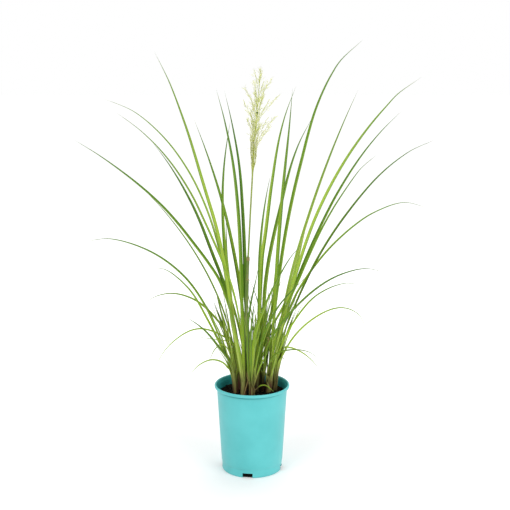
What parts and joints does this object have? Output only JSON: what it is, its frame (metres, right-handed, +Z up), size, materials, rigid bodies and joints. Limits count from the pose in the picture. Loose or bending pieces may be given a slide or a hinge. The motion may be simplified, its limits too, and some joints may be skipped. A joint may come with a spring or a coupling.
{
  "type": "potted ornamental grass",
  "caption": "Clump of tall arching ornamental grass with one feathery flower plume, growing in a round tapered plastic nursery pot.",
  "frame": {"origin": "centre of the pot's flat underside, on the surface that it stands on", "axes": "+Z up along the pot's axis, -Y towards the clump's best side, +X to the right seen from there"},
  "size_m": [0.7949, 0.635, 0.9697],
  "materials": {
    "pot": "satin moulded teal plastic",
    "soil": "dark damp potting mix with bits of bark",
    "leaf_sheath": "papery leaf sheaths, purple-brown at the foot",
    "flower_stem": "smooth grey-green stem in its sheath",
    "flower_plume": "feathery cream flower head",
    "leaf_bright": "satin yellow-green blade with fine veins",
    "leaf_mid": "satin green blade with fine veins",
    "leaf_dark": "satin dark green blade with fine veins"
  },
  "bodies": {
    "root": {"pot": "pot", "soil": "soil", "shoot_01": "leaf_sheath", "shoot_02": "leaf_sheath", "shoot_03": "leaf_sheath", "shoot_04": "leaf_sheath", "shoot_05": "leaf_sheath", "shoot_06": "leaf_sheath", "shoot_07": "leaf_sheath", "shoot_08": "leaf_sheath", "shoot_09": "leaf_sheath", "shoot_10": "leaf_sheath", "flower_stem": "flower_stem", "flower_plume": "flower_plume", "leaf_01": "leaf_mid", "leaf_02": "leaf_mid", "leaf_03": "leaf_mid", "leaf_04": "leaf_bright", "leaf_05": "leaf_mid", "leaf_06": "leaf_dark", "leaf_07": "leaf_bright", "leaf_08": "leaf_mid", "leaf_09": "leaf_bright", "leaf_10": "leaf_bright", "leaf_11": "leaf_mid", "leaf_12": "leaf_dark", "leaf_13": "leaf_mid", "leaf_14": "leaf_mid", "leaf_15": "leaf_mid", "leaf_16": "leaf_dark", "leaf_17": "leaf_mid", "leaf_18": "leaf_bright", "leaf_19": "leaf_mid", "leaf_20": "leaf_mid", "leaf_21": "leaf_mid", "leaf_22": "leaf_bright", "leaf_23": "leaf_bright", "leaf_24": "leaf_mid", "leaf_25": "leaf_mid", "leaf_26": "leaf_dark", "leaf_27": "leaf_mid", "leaf_28": "leaf_dark", "leaf_29": "leaf_bright", "leaf_30": "leaf_bright", "leaf_31": "leaf_dark", "leaf_32": "leaf_bright", "leaf_33": "leaf_mid", "leaf_34": "leaf_dark", "leaf_35": "leaf_dark", "leaf_36": "leaf_dark", "leaf_37": "leaf_dark", "leaf_38": "leaf_bright", "leaf_39": "leaf_dark", "leaf_40": "leaf_bright", "leaf_41": "leaf_dark", "leaf_42": "leaf_bright", "leaf_43": "leaf_mid", "leaf_44": "leaf_mid", "leaf_45": "leaf_mid"}
  },
  "joints": []
}
